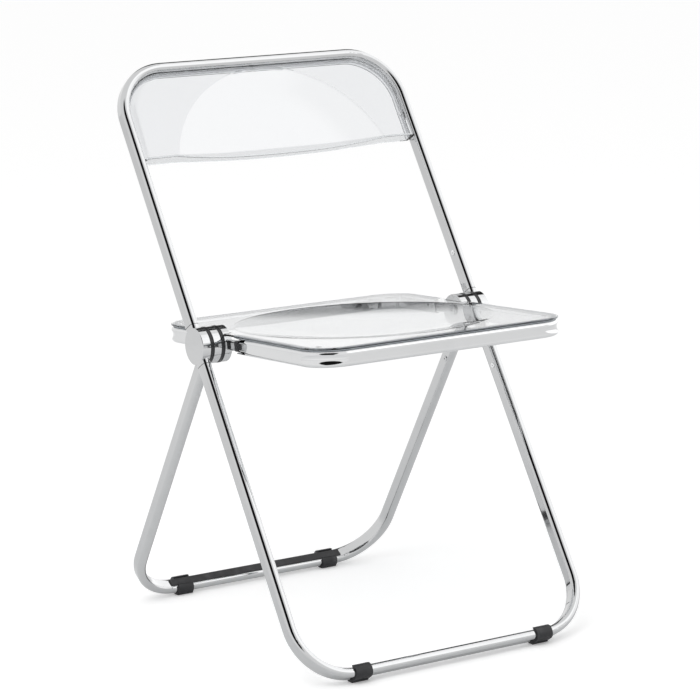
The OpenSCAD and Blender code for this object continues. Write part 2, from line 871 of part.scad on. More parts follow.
module arm_screws() {
    color("whitesmoke") seat_plane() both_sides() for (end = [0, 1]) {
        mirror([0, end, 0]) translate([seat_half - band_w, -arm_screw_y, band_mid_h]) rotate([0, -90, 0])
            screw(arm_screw_depth - over / 2);
    }
}

back_tube();
front_leg_tube();
mirror([1, 0, 0]) outer_hub();  // outer_hub_left
outer_hub();  // outer_hub_right
mirror([1, 0, 0]) pivot_pin();  // pivot_pin_left
pivot_pin();  // pivot_pin_right
mirror([1, 0, 0]) stop_pin();  // stop_pin_left
stop_pin();  // stop_pin_right
mirror([1, 0, 0]) outer_washer();  // outer_washer_left
outer_washer();  // outer_washer_right
mirror([1, 0, 0]) inner_washer();  // inner_washer_left
inner_washer();  // inner_washer_right
frame_rivets();
backrest_panel();
backrest_screws();
mirror([1, 0, 0]) front_foot();  // front_foot_left
front_foot();  // front_foot_right
rear_leg_tube();
mirror([1, 0, 0]) middle_hub();  // middle_hub_left
middle_hub();  // middle_hub_right
rear_rivets();
mirror([1, 0, 0]) rear_foot();  // rear_foot_left
rear_foot();  // rear_foot_right
rear_bar_strip();
mirror([1, 0, 0]) seat_hub();  // seat_hub_left
seat_hub();  // seat_hub_right
mirror([1, 0, 0]) arm_collars();  // arm_collars_left
arm_collars();  // arm_collars_right
seat_band_front();
seat_band_rear();
seat_gasket();
seat_pan();
pan_screws();
arm_screws();
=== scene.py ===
"""Looks of a folding chair: a chromed flat oval tube frame with a clear moulded seat and backrest.

The chair stands on its floor bars at z = 0, faces -Y, and its hinge axis runs along X above the origin.
All lengths are in metres.
"""

import logging
import math
from collections.abc import Callable, Iterable, Sequence
from dataclasses import dataclass, field
from enum import Enum

import bmesh
import bpy
from mathutils import Matrix, Vector

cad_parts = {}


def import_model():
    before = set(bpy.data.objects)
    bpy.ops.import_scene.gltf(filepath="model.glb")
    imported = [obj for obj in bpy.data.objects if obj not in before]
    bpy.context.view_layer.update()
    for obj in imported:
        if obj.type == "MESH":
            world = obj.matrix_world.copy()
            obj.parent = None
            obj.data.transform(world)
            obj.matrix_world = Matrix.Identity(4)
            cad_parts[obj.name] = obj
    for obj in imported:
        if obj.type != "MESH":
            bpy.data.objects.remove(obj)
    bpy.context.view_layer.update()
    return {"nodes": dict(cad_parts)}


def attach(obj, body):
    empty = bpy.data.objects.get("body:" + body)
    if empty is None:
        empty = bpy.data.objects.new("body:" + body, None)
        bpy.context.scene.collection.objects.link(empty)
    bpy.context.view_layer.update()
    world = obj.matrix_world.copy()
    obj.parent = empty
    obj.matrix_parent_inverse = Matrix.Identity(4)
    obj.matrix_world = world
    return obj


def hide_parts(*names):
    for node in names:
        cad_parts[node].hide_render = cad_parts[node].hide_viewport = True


LOG = logging.getLogger("folding_chair")

Colour = tuple[float, float, float]
Point = tuple[float, float, float]
Range = tuple[float, float]
Material = bpy.types.Material
Node = bpy.types.Node
Piece = bpy.types.Object
Socket = bpy.types.NodeSocket
Source = Socket | float | Sequence[float]

WHITE: Colour = (1.0, 1.0, 1.0)
UNIT: Range = (0.0, 1.0)
FALLING: Range = (1.0, 0.0)

# The hinge axis, how far the frame leans back and the seat tips up, and the dishes' distance from the axis
HINGE: Point = (0.0, 0.0, 0.405)
LEAN = math.radians(32.5)
TILT = math.radians(3.0)
PAN_DISH_Y = -0.058
BACK_DISH_Z = 0.2195
SIDES = (("left", -1.0), ("right", 1.0))
QUARTER_TURN = math.pi / 2.0

# Vertices nearer than WELD are one, places within SAME are level, and a place within NEAR of a line is on it
WELD = 2e-6
SAME = 1e-6
NEAR = 1e-5

# Angles in degrees past which an edge stays sharp
MOULDED_EDGE = 35.0
RING_EDGE = 60.0


class Body(str, Enum):
    """The front frame, and the two bodies that turn on its hinge axis."""

    FRONT = "front_frame"
    REAR = "rear_legs"
    SEAT = "seat"


class Slot(str, Enum):
    """Names of two material slots, which nothing in this script uses."""

    CLEAR = "clear_plastic"
    WASHER = "black_washer"


# ---- Shader graphs


@dataclass
class Graph:
    """The node graph of a material, group or world."""

    tree: bpy.types.NodeTree

    def feed(self, node: Node, inputs: dict[str | int, Source]) -> None:
        """Sets inputs of a node, or links them.

        Args:
            node: The node.
            inputs: The number, vector, colour or output that each input takes, by its name or place.
        """
        for key, value in inputs.items():
            target = node.inputs[key]
            if isinstance(value, Socket):
                self.tree.links.new(value, target)
            else:
                target.default_value = (*value, 1.0) if target.type == "RGBA" else value

    def add(self, kind: str, inputs: dict[str | int, Source] | None = None, **settings: object) -> Node:
        """Adds a node.

        Args:
            kind: Its type, such as "ShaderNodeTexNoise".
            inputs: What its inputs take.
            settings: Values of its own properties.

        Returns:
            The new node.
        """
        made = self.tree.nodes.new(kind)
        for name, value in settings.items():
            setattr(made, name, value)
        self.feed(made, inputs or {})
        return made

    def noise(self, place: Socket, scale: float, detail: float, rough: float) -> Socket:
        """Adds a noise texture.

        Args:
            place: The coordinates it reads.
            scale: Its scale.
            detail: Its octaves.
            rough: How strong the finer octaves are.

        Returns:
            The noise, from 0 to 1.
        """
        inputs = {"Vector": place, "Scale": scale, "Detail": detail, "Roughness": rough}
        return self.add("ShaderNodeTexNoise", inputs, noise_dimensions="3D").outputs["Fac"]

    def spread(self, value: Socket, old: Range, new: Range, smooth: bool = False) -> Socket:
        """Maps one range of a value to another, held at the ends.

        Args:
            value: The value to map.
            old: The range it has.
            new: The range it gets.
            smooth: Whether it eases in and out.

        Returns:
            The mapped value.
        """
        ends = dict(zip(("From Min", "From Max", "To Min", "To Max"), (*old, *new)))
        easing = "SMOOTHSTEP" if smooth else "LINEAR"
        made = self.add("ShaderNodeMapRange", {"Value": value, **ends}, clamp=True, interpolation_type=easing)
        return made.outputs["Result"]

    def maths(self, operation: str, first: Socket | float, second: Socket | float) -> Socket:
        """Adds one step of arithmetic.

        Args:
            operation: The step, such as "MULTIPLY".
            first: The first value.
            second: The second value.

        Returns:
            The result.
        """
        return self.add("ShaderNodeMath", {0: first, 1: second}, operation=operation).outputs["Value"]

    def vector(self, operation: str, first: Socket, second: Sequence[float] = (0.0, 0.0, 0.0)) -> Node:
        """Adds one step of vector arithmetic.

        Args:
            operation: The step, such as "LENGTH".
            first: The vector.
            second: The other vector, where the step has one.

        Returns:
            The node, with the outputs Vector and Value.
        """
        return self.add("ShaderNodeVectorMath", {0: first, 1: second}, operation=operation)

    def mix_colours(self, share: Socket, low: Socket | Colour, high: Socket | Colour) -> Socket:
        """Mixes two colours by a share.

        Args:
            share: How much of the second colour shows.
            low: The colour at 0.
            high: The colour at 1.

        Returns:
            The mixed colour.
        """
        return self.add("ShaderNodeMix", {"Factor": share, 6: low, 7: high}, data_type="RGBA").outputs[2]

    def looked_at(self) -> Socket:
        """Tells rays that see from rays that carry light.

        Returns:
            1 for rays of the camera, of mirrors and of clear plastic, and 0 for the others.
        """
        rays = self.add("ShaderNodeLightPath").outputs
        seen = self.maths("MAXIMUM", rays["Is Camera Ray"], rays["Is Transmission Ray"])
        return self.maths("MAXIMUM", seen, rays["Is Glossy Ray"])


@dataclass
class Inside:
    """The inside of a new shader group, with its coordinates already divided by its input Size."""

    graph: Graph
    end: Node
    place: Socket


@dataclass
class Effects:
    """Shader groups of the effects that several finishes share, each built once."""

    built: dict[str, bpy.types.NodeTree] = field(default_factory=dict)

    def group(self, name: str, outputs: Sequence[str]) -> Inside | None:
        """Starts a group with the inputs Place and Size, unless it is built already.

        Args:
            name: The group's name.
            outputs: The names of its outputs.

        Returns:
            The inside of the new group, or None.
        """
        if name in self.built:
            return None
        tree = self.built[name] = bpy.data.node_groups.new(name, "ShaderNodeTree")
        tree.interface.new_socket("Place", in_out="INPUT", socket_type="NodeSocketVector")
        tree.interface.new_socket("Size", in_out="INPUT", socket_type="NodeSocketFloat")
        for label in outputs:
            tree.interface.new_socket(label, in_out="OUTPUT", socket_type="NodeSocketFloat")
        graph = Graph(tree)
        start, end = graph.add("NodeGroupInput"), graph.add("NodeGroupOutput")
        scaled = graph.vector("SCALE", start.outputs["Place"])
        graph.feed(scaled, {"Scale": graph.maths("DIVIDE", 1.0, start.outputs["Size"])})
        return Inside(graph, end, scaled.outputs["Vector"])

    def placed(self, graph: Graph, name: str, size: float) -> Node:
        """Puts a group in a material, fed with the object's own coordinates.

        Args:
            graph: The material's graph.
            name: The group's name.
            size: The size of its pattern.

        Returns:
            The group node.
        """
        place = graph.add("ShaderNodeTexCoord").outputs["Object"]
        return graph.add("ShaderNodeGroup", {"Place": place, "Size": size}, node_tree=self.built[name])

    def handling(self, graph: Graph, size: float) -> Node:
        """Adds the marks of handling: soft smudges and fine hairline scratches.

        Args:
            graph: The material's graph.
            size: Size of the larger smudges.

        Returns:
            The node, with outputs Smudge and Height.
        """
        name = "handling_marks"
        inside = self.group(name, ("Smudge", "Height"))
        if inside is not None:
            inner, place = inside.graph, inside.place
            soft = inner.spread(inner.noise(place, 1.0, 3.0, 0.55), (0.42, 0.72), UNIT, True)
            prints = inner.spread(inner.noise(place, 6.5, 4.0, 0.62), (0.5, 0.74), UNIT, True)
            shares = inner.maths("MULTIPLY", soft, 0.65), inner.maths("MULTIPLY", prints, 0.35)
            lines = inner.add(
                "ShaderNodeMapping",
                {"Vector": place, "Rotation": (0.35, 0.2, 0.6), "Scale": (3.0, 60.0, 14.0)},
            )
            hair = inner.noise(lines.outputs["Vector"], 2.0, 2.0, 0.7)
            scratches = inner.spread(hair, (0.66, 0.74), (0.0, -1.0))
            inner.feed(inside.end, {"Smudge": inner.maths("ADD", *shares), "Height": scratches})
        return self.placed(graph, name, size)

    def ripple(self, graph: Graph, size: float) -> Node:
        """Adds the slow unevenness of a plated or moulded surface.

        Args:
            graph: The material's graph.
            size: Length of one wave.

        Returns:
            The node, with the output Height.
        """
        name = "slow_ripple"
        inside = self.group(name, ("Height",))
        if inside is not None:
            inner = inside.graph
            slow = inner.noise(inside.place, 1.0, 1.0, 0.4)
            fine = inner.maths("MULTIPLY", inner.noise(inside.place, 5.0, 2.0, 0.5), 0.06)
            inner.feed(inside.end, {"Height": inner.maths("ADD", slow, fine)})
        return self.placed(graph, name, size)

    def grain(self, graph: Graph, size: float) -> Node:
        """Adds the grain that an etched mould leaves, with a little dust.

        Args:
            graph: The material's graph.
            size: Size of one grain.

        Returns:
            The node, with the outputs Height and Shade.
        """
        name = "mould_grain"
        inside = self.group(name, ("Height", "Shade"))
        if inside is not None:
            inner, place = inside.graph, inside.place
            cells = inner.add(
                "ShaderNodeTexVoronoi",
                {"Vector": place, "Scale": 1.0},
                voronoi_dimensions="3D",
                feature="SMOOTH_F1",
            )
            fine = inner.maths("MULTIPLY", inner.noise(place, 2.3, 3.0, 0.6), 0.7)
            height = inner.maths("ADD", cells.outputs["Distance"], fine)
            dust = inner.spread(inner.noise(place, 0.06, 5.0, 0.6), (0.45, 0.75), UNIT, True)
            inner.feed(inside.end, {"Height": height, "Shade": dust})
        return self.placed(graph, name, size)


EFFECTS = Effects()


def surface(name: str) -> tuple[Material, Graph, Node, Node]:
    """Starts a material.

    Args:
        name: The material's name.

    Returns:
        The material, its graph, its Principled BSDF and its output node.
    """
    made = bpy.data.materials.new(name)
    made.use_nodes = True
    graph = Graph(made.node_tree)
    graph.tree.nodes.clear()
    shader = graph.add("ShaderNodeBsdfPrincipled")
    output = graph.add("ShaderNodeOutputMaterial", {"Surface": shader.outputs["BSDF"]})
    return made, graph, shader, output


def relief(graph: Graph, shader: Node, heights: Iterable[tuple[Socket, float]]) -> None:
    """Bumps a surface by several heights, one after another.

    Args:
        graph: The material's graph.
        shader: The shader whose normal is bumped.
        heights: Each height's output, with its full depth.
    """
    normal: dict[str, Socket] = {}
    for height, depth in heights:
        bump = graph.add("ShaderNodeBump", {"Strength": 1.0, "Distance": depth, "Height": height, **normal})
        normal = {"Normal": bump.outputs["Normal"]}
    graph.feed(shader, normal)


@dataclass(frozen=True)
class PlatedMetal:
    """Bright plated or polished metal with faint smudges, hairlines and a slow ripple."""

    name: str
    colour: Colour
    dull: Colour
    roughness: float
    smudged: float
    marks: float = 0.11
    wave: float = 0.05
    wave_depth: float = 0.00004
    scratch_depth: float = 0.0000008

    def material(self) -> Material:
        """Builds the finish.

        Returns:
            The material.
        """
        made, graph, shader, _ = surface(self.name)
        marks = EFFECTS.handling(graph, self.marks).outputs
        wave = EFFECTS.ripple(graph, self.wave).outputs["Height"]
        inputs = {
            "Metallic": 1.0,
            "Base Color": graph.mix_colours(marks["Smudge"], self.colour, self.dull),
            "Roughness": graph.spread(marks["Smudge"], UNIT, (self.roughness, self.smudged)),
        }
        graph.feed(shader, inputs)
        relief(graph, shader, [(wave, self.wave_depth), (marks["Height"], self.scratch_depth)])
        return made


@dataclass(frozen=True)
class BlackMoulding:
    """Rubber or plastic with a moulded grain and a little dust."""

    name: str
    colour: Colour
    dusty: Colour
    roughness: float
    worn: float
    grain: float
    grain_depth: float
    gloss: float = 0.45

    def material(self) -> Material:
        """Builds the finish.

        Returns:
            The material.
        """
        made, graph, shader, _ = surface(self.name)
        grain = EFFECTS.grain(graph, self.grain).outputs
        inputs = {
            "Specular IOR Level": self.gloss,
            "Base Color": graph.mix_colours(grain["Shade"], self.colour, self.dusty),
            "Roughness": graph.spread(grain["Shade"], UNIT, (self.worn, self.roughness)),
        }
        graph.feed(shader, inputs)
        relief(graph, shader, [(grain["Height"], self.grain_depth)])
        return made


@dataclass(frozen=True)
class ClearMoulding:
    """Clear polished plastic: it bends light, and long ways through it darken to a cool grey.

    The dish and the flat rim round it differ in tint, by the distance from the dish's middle in the
    moulding's own plane, and so does the lip of a lower edge, by its height there.
    """

    name: str
    dished: Colour
    rim: Colour
    turn: float
    dish_middle: Point
    across: Point
    density: float
    lip: Colour | None = None
    lip_reach: Range = (0.2712, 0.2722)
    dish_reach: Range = (0.1695, 0.171)
    depth_colour: Colour = (0.0, 0.12, 0.2)
    shadow_tint: Colour = (0.86, 0.88, 0.89)
    roughness: float = 0.008
    smudged: float = 0.05
    marks: float = 0.16
    wave: float = 0.09
    wave_depth: float = 0.000002
    ior: float = 1.5

    def tint(self, graph: Graph) -> Socket:
        """Colours the dish, the rim round it and the lip.

        Args:
            graph: The material's graph.

        Returns:
            The colour.
        """
        place = graph.add("ShaderNodeTexCoord").outputs["Object"]
        inputs = {"Vector": place, "Location": HINGE, "Rotation": (-self.turn, 0.0, 0.0)}
        own = graph.add("ShaderNodeMapping", inputs, vector_type="TEXTURE").outputs["Vector"]
        centred = graph.vector("SUBTRACT", own, self.dish_middle).outputs["Vector"]
        flat = graph.vector("MULTIPLY", centred, self.across).outputs["Vector"]
        reach = graph.vector("LENGTH", flat).outputs["Value"]
        outside = graph.spread(reach, self.dish_reach, UNIT, True)
        colour = graph.mix_colours(outside, self.dished, self.rim)
        if self.lip is None:
            return colour
        height = graph.add("ShaderNodeSeparateXYZ", {"Vector": own}).outputs["Z"]
        return graph.mix_colours(graph.spread(height, self.lip_reach, FALLING, True), colour, self.lip)

    def material(self) -> Material:
        """Builds the finish.

        Returns:
            The material.
        """
        made, graph, shader, output = surface(self.name)
        smudge = EFFECTS.handling(graph, self.marks).outputs["Smudge"]
        wave = EFFECTS.ripple(graph, self.wave).outputs["Height"]
        inputs = {
            "Base Color": self.tint(graph),
            "Transmission Weight": 1.0,
            "IOR": self.ior,
            "Roughness": graph.spread(smudge, UNIT, (self.roughness, self.smudged)),
        }
        graph.feed(shader, inputs)
        relief(graph, shader, [(wave, self.wave_depth)])
        inputs = {"Color": self.depth_colour, "Density": self.density}
        depth = graph.add("ShaderNodeVolumeAbsorption", inputs).outputs["Volume"]
        # Light reaches the floor through the clear plastic, a little dimmed
        passing = graph.add("ShaderNodeBsdfTransparent", {"Color": self.shadow_tint}).outputs["BSDF"]
        shadow = graph.add("ShaderNodeLightPath").outputs["Is Shadow Ray"]
        mixed = graph.add("ShaderNodeMixShader", {"Fac": shadow, 1: shader.outputs["BSDF"], 2: passing})
        graph.feed(output, {"Surface": mixed.outputs["Shader"], "Volume": depth})
        return made


@dataclass(frozen=True)
class Finishes:
    """Every finish of the chair."""

    tube: PlatedMetal = PlatedMetal("chrome_tube", (0.6, 0.605, 0.61), (0.56, 0.565, 0.57), 0.03, 0.1)
    # The band's chrome is lighter than the tubes': painted light, brightening what the band mirrors
    band: PlatedMetal = PlatedMetal(
        "chrome_band", (0.72, 0.725, 0.73), (0.68, 0.685, 0.69), 0.03, 0.09, 0.09
    )
    hub: PlatedMetal = PlatedMetal(
        "polished_hub", (0.61, 0.615, 0.62), (0.56, 0.565, 0.57), 0.06, 0.14, 0.04, 0.02
    )
    pin: PlatedMetal = PlatedMetal(
        "turned_steel", (0.5, 0.51, 0.52), (0.4, 0.41, 0.42), 0.2, 0.34, 0.02, 0.01
    )
    fixing: PlatedMetal = PlatedMetal(
        "zinc_fixing", (0.9, 0.905, 0.91), (0.8, 0.805, 0.81), 0.16, 0.28, 0.015, 0.01
    )
    washer: BlackMoulding = BlackMoulding(
        "black_washer", (0.012, 0.012, 0.014), (0.03, 0.03, 0.032), 0.42, 0.3, 0.0009, 0.00004
    )
    # Black for the dark seams at the tube necks, and also for the painted shade on the hinge discs' rims
    seam: BlackMoulding = BlackMoulding(
        "seam_shadow", (0.012, 0.012, 0.013), (0.03, 0.03, 0.031), 0.5, 0.4, 0.0006, 0.00001
    )
    rubber: BlackMoulding = BlackMoulding(
        "black_rubber", (0.016, 0.016, 0.018), (0.055, 0.055, 0.058), 0.62, 0.45, 0.0012, 0.0001
    )
    gasket: BlackMoulding = BlackMoulding(
        "grey_gasket", (0.3, 0.325, 0.35), (0.4, 0.425, 0.45), 0.5, 0.4, 0.0008, 0.00003
    )
    # On the seat the dish is tinted darker than the flat rim round it: painted shade, standing in for the
    # dark that the dish wall mirrors
    pan: ClearMoulding = ClearMoulding(
        name="clear_seat",
        dished=(0.78, 0.79, 0.8),
        rim=(0.9, 0.906, 0.914),
        turn=TILT,
        dish_middle=(0.0, PAN_DISH_Y, 0.0),
        across=(1.0, 1.0, 0.0),
        density=3.5,
    )
    back: ClearMoulding = ClearMoulding(
        name="clear_backrest",
        dished=(0.895, 0.902, 0.912),
        rim=(0.81, 0.818, 0.83),
        turn=LEAN,
        dish_middle=(0.0, 0.0, BACK_DISH_Z),
        across=(1.0, 0.0, 1.0),
        density=4.0,
        lip=(0.73, 0.74, 0.75),
    )


# ---- Modelling


class Part(str, Enum):
    """What is selected in edit mode."""

    VERTEX = "VERT"
    EDGE = "EDGE"
    FACE = "FACE"


class Bench:
    """Steps that the modelling of every piece shares."""

    ROD_SIDES = 96
    NORMAL_WEIGHT = 90

    @staticmethod
    def clear() -> None:
        """Leaves edit mode and deselects everything."""
        if bpy.context.mode != "OBJECT":
            bpy.ops.object.mode_set(mode="OBJECT")
        bpy.ops.object.select_all(action="DESELECT")

    @staticmethod
    def take(made: Piece) -> None:
        """Makes an object the only selected and active one.

        Args:
            made: The object.
        """
        Bench.clear()
        made.select_set(True)
        bpy.context.view_layer.objects.active = made

    @staticmethod
    def edit(made: Piece) -> None:
        """Opens an object in edit mode, with its whole mesh selected.

        Args:
            made: The object.
        """
        Bench.take(made)
        bpy.ops.object.mode_set(mode="EDIT")
        bpy.ops.mesh.select_all(action="SELECT")

    @staticmethod
    def settle(name: str) -> Piece:
        """Names the active object and puts its place, turn and size into its mesh.

        Args:
            name: Its name.

        Returns:
            The object.
        """
        made = bpy.context.object
        made.name = name
        bpy.ops.object.transform_apply(location=True, rotation=True, scale=True)
        return made

    @staticmethod
    def pick(made: Piece, part: Part, test: Callable[[list[Vector]], bool]) -> None:
        """Selects vertices, edges or faces in edit mode, and nothing else.

        Args:
            made: The object in edit mode.
            part: What is selected.
            test: Says from the places of an item's vertices whether it is taken.
        """
        bpy.ops.mesh.select_mode(type=part.value)
        bpy.ops.mesh.select_all(action="DESELECT")
        mesh = bmesh.from_edit_mesh(made.data)
        pools = {Part.VERTEX: mesh.verts, Part.EDGE: mesh.edges, Part.FACE: mesh.faces}
        for item in pools[part]:
            if test([item.co] if part is Part.VERTEX else [vertex.co for vertex in item.verts]):
                item.select_set(True)
        mesh.select_flush_mode()
        bmesh.update_edit_mesh(made.data)

    @staticmethod
    def draw(along: Point) -> None:
        """Extrudes what is selected in edit mode."""
        bpy.ops.mesh.extrude_region_move(TRANSFORM_OT_translate={"value": along})

    @staticmethod
    def outward() -> None:
        """Selects the whole mesh in edit mode and turns its faces outward."""
        bpy.ops.mesh.select_all(action="SELECT")
        bpy.ops.mesh.normals_make_consistent(inside=False)

    @staticmethod
    def empty(wall: float, along: Point) -> None:
        """Sets a filled outline in edit mode in, empties it and draws it out to a ring.

        Args:
            wall: Width of the ring.
            along: How far it is drawn out, and which way.
        """
        bpy.ops.mesh.select_all(action="SELECT")
        bpy.ops.mesh.inset(thickness=wall)
        bpy.ops.mesh.delete(type="FACE")
        bpy.ops.mesh.select_all(action="SELECT")
        Bench.draw(along)
        Bench.clear()

    @staticmethod
    def apply(made: Piece, kind: str, **settings: object) -> None:
        """Adds a modifier and applies it.

        Args:
            made: The object.
            kind: The modifier's type.
            settings: Its properties.
        """
        Bench.take(made)
        modifier = made.modifiers.new(kind.lower(), kind)
        for name, value in settings.items():
            setattr(modifier, name, value)
        bpy.ops.object.modifier_apply(modifier=modifier.name)

    @staticmethod
    def combine(made: Piece, tool: Piece, operation: str) -> None:
        """Cuts a solid from another or joins it on, and removes the tool.

        Args:
            made: The solid that stays.
            tool: The other solid.
            operation: How they are joined, such as "UNION".
        """
        Bench.apply(made, "BOOLEAN", object=tool, operation=operation, solver="EXACT")
        bpy.data.objects.remove(tool)

    @staticmethod
    def slab(name: str, middle: Point, width: float, depth: float) -> Piece:
        """Adds a flat rectangle.

        Args:
            name: Its name.
            middle: Its middle.
            width: Its size along X.
            depth: Its size along Y.

        Returns:
            The rectangle.
        """
        Bench.clear()
        bpy.ops.mesh.primitive_plane_add(size=1.0, location=middle)
        bpy.ops.transform.resize(value=(width, depth, 1.0))
        return Bench.settle(name)

    @staticmethod
    def rod(name: str, middle: Point, radius: float, length: float, turn: Point = (0.0, 0.0, 0.0)) -> Piece:
        """Adds a round bar, used to cut or to join.

        Args:
            name: Its name.
            middle: Its middle.
            radius: Its radius.
            length: Its length, along its own Z.
            turn: How it is turned.

        Returns:
            The bar.
        """
        Bench.clear()
        bpy.ops.mesh.primitive_cylinder_add(
            vertices=Bench.ROD_SIDES, radius=radius, depth=length, location=middle, rotation=turn
        )
        return Bench.settle(name)

    @staticmethod
    def rings(name: str, middle: Point, points: Sequence[Range], sides: int) -> Piece:
        """Extrudes a circle ring by ring along a section, and closes the last ring with a face.

        Args:
            name: The object's name.
            middle: Centre of the circle at height 0.
            points: Radius and height of each ring.
            sides: Vertices of a ring.

        Returns:
            The object, in object mode.
        """
        x, y, z = middle
        radius, height = points[0]
        Bench.clear()
        bpy.ops.mesh.primitive_circle_add(vertices=sides, radius=radius, location=(x, y, z + height))
        made = Bench.settle(name)
        Bench.edit(made)
        bpy.ops.mesh.select_mode(type=Part.EDGE.value)
        bpy.ops.mesh.select_all(action="SELECT")
        for new_radius, new_height in points[1:]:
            Bench.draw((0.0, 0.0, new_height - height))
            share = new_radius / radius
            bpy.ops.transform.resize(value=(share, share, 1.0), center_override=(x, y, z + new_height))
            radius, height = new_radius, new_height
        bpy.ops.mesh.edge_face_add()
        bpy.ops.object.mode_set(mode="OBJECT")
        return made

    @staticmethod
    def finish(made: Piece, turn: float, sharp: float) -> Piece:
        """Turns a piece into its plane at the hinge axis, and smooths it.

        Args:
            made: The piece, drawn flat about the hinge axis.
            turn: Turn about the hinge axis, in radians.
            sharp: Angle in degrees past which an edge stays sharp.

        Returns:
            The piece, with its object at the origin.
        """
        Bench.edit(made)
        bpy.ops.mesh.remove_doubles(threshold=WELD)
        bpy.ops.mesh.normals_make_consistent(inside=False)
        Bench.take(made)
        made.rotation_euler = (turn, 0.0, 0.0)
        made.location = HINGE
        Bench.settle(made.name)
        bpy.ops.object.shade_smooth_by_angle(angle=math.radians(sharp))
        Bench.apply(made, "WEIGHTED_NORMAL", keep_sharp=True, weight=Bench.NORMAL_WEIGHT)
        Bench.clear()
        return made


@dataclass(frozen=True)
class DishSection:
    """Section of the moulded dish: a short convex arc at the rim, then a long concave one to the floor."""

    radius: float = 0.1725
    wall: float = 0.105
    depth: float = 0.0095
    shoulder: float = 0.0036
    shoulder_steps: int = 4
    bowl_steps: int = 32
    sides: int = 240

    def points(self, skin: float = 0.0) -> list[Range]:
        """Lists the rings of the hollow, or of the underside that lies a skin below it.

        Args:
            skin: Thickness of the skin.

        Returns:
            Radius and height of each ring, from the rim down to the floor.
        """
        bowl = (self.wall**2 + self.depth**2) / (2.0 * self.depth) - self.shoulder
        turn = 2.0 * math.atan(self.depth / self.wall)
        crest, hollow = self.shoulder - skin, bowl + skin
        rim = [
            (self.radius - crest * math.sin(a), crest * math.cos(a) - self.shoulder)
            for a in (turn * i / self.shoulder_steps for i in range(self.shoulder_steps + 1))
        ]
        floor = [
            (self.radius - self.wall + hollow * math.sin(a), bowl - self.depth - hollow * math.cos(a))
            for a in (turn * i / self.bowl_steps for i in range(self.bowl_steps - 1, -1, -1))
        ]
        return rim + floor


# ---- The chair


def coat(made: Piece, material: Material) -> None:
    """Gives a piece its finish.

    Args:
        made: The piece.
        material: The finish.
    """
    made.data.materials.clear()
    made.data.materials.append(material)
    LOG.info("%s: %s, %d faces", made.name, material.name, len(made.data.polygons))


def cover(made: Piece, material: Material, body: Body) -> None:
    """Gives a new piece its finish and puts it on its body.

    Args:
        made: The piece.
        material: The finish.
        body: The body that carries it.
    """
    coat(made, material)
    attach(made, body.value)


